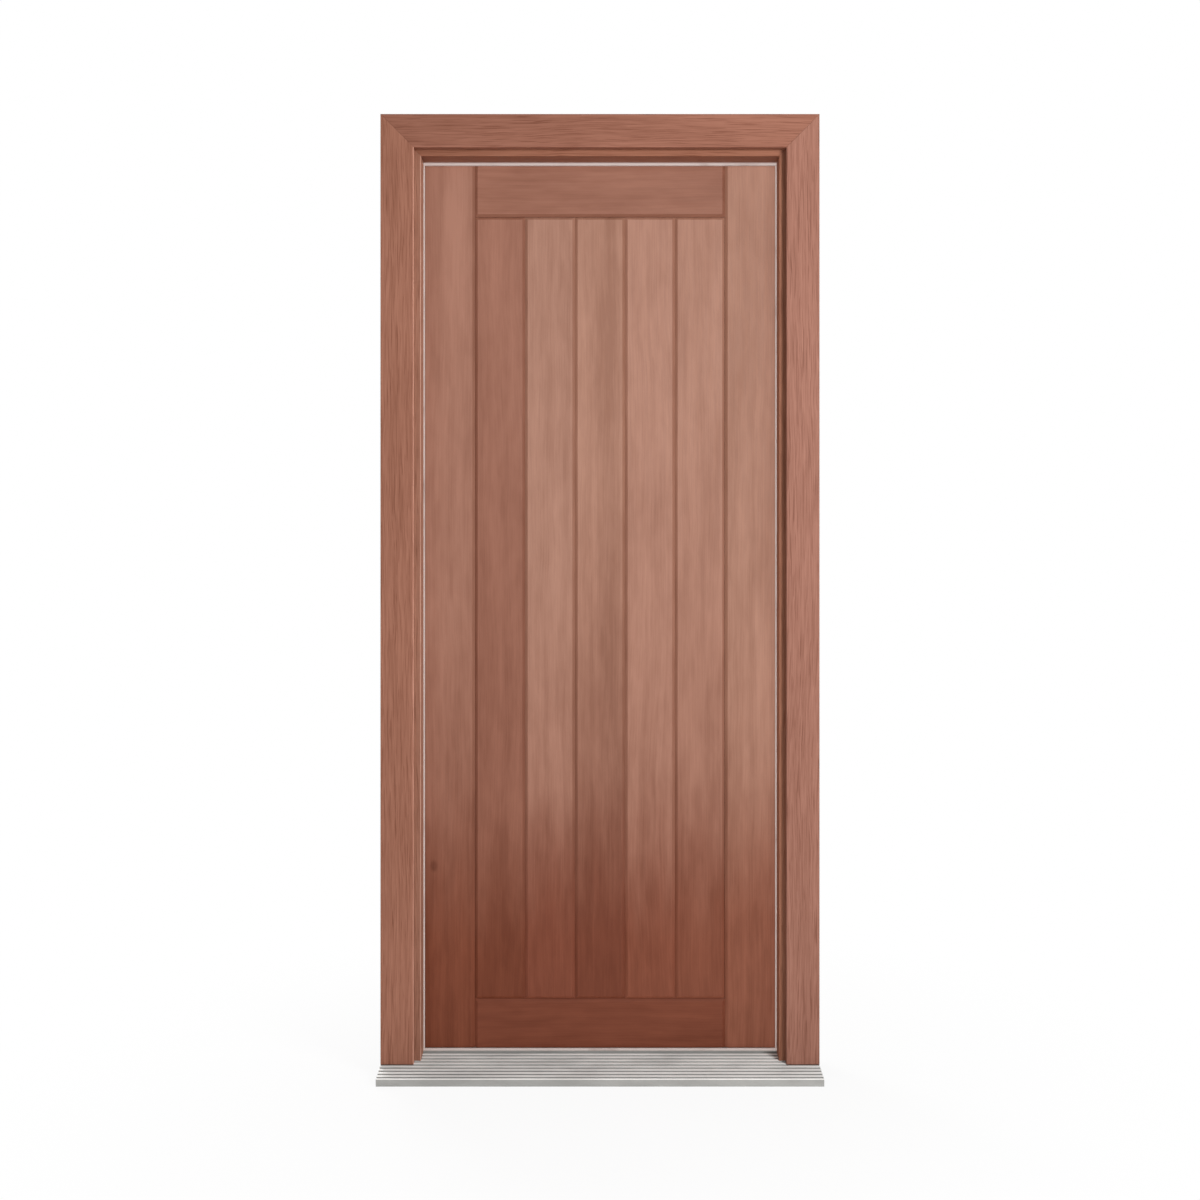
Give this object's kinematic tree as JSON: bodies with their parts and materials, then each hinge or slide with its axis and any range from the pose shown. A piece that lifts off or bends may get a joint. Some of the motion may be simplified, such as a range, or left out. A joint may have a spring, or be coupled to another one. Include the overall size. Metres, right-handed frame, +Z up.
{
  "type": "plank door",
  "caption": "Inward opening plank door: a framed leaf with V-jointed vertical planks, hung on butt hinges in a mitred hardwood frame with a ribbed aluminium threshold.",
  "frame": {"origin": "underside of the threshold, midway between the jambs, below the outer face of the frame", "axes": "+X to the right seen from outside, +Y inward through the doorway, +Z up"},
  "size_m": [0.969, 0.195, 2.1235],
  "materials": {
    "frame_wood": "satin stain on open-grained hardwood",
    "leaf_wood": "satin stain on smooth hardwood",
    "threshold_metal": "mill finish, ribbed",
    "seal": "matt pale weatherseal",
    "hinge_metal": "satin"
  },
  "bodies": {
    "frame": {"left_jamb": "frame_wood", "right_jamb": "frame_wood", "head": "frame_wood", "threshold": "threshold_metal", "left_seal": "seal", "right_seal": "seal", "head_seal": "seal", "threshold_seal": "seal", "lower_hinge_frame_flap": "hinge_metal", "lower_hinge_pin": "hinge_metal", "middle_hinge_frame_flap": "hinge_metal", "middle_hinge_pin": "hinge_metal", "upper_hinge_frame_flap": "hinge_metal", "upper_hinge_pin": "hinge_metal"},
    "leaf": {"hinge_stile": "leaf_wood", "lock_stile": "leaf_wood", "top_rail": "leaf_wood", "bottom_rail": "leaf_wood", "plank_1": "leaf_wood", "plank_2": "leaf_wood", "plank_3": "leaf_wood", "plank_4": "leaf_wood", "plank_5": "leaf_wood", "lower_hinge_door_flap": "hinge_metal", "middle_hinge_door_flap": "hinge_metal", "upper_hinge_door_flap": "hinge_metal"}
  },
  "joints": [
    {"name": "leaf_swing", "type": "hinge", "parent": "frame", "child": "leaf", "pos_m": [-0.40625, 0.1245, 1.04], "axis": [0, 0, 1], "range_deg": [0, 110]}
  ]
}
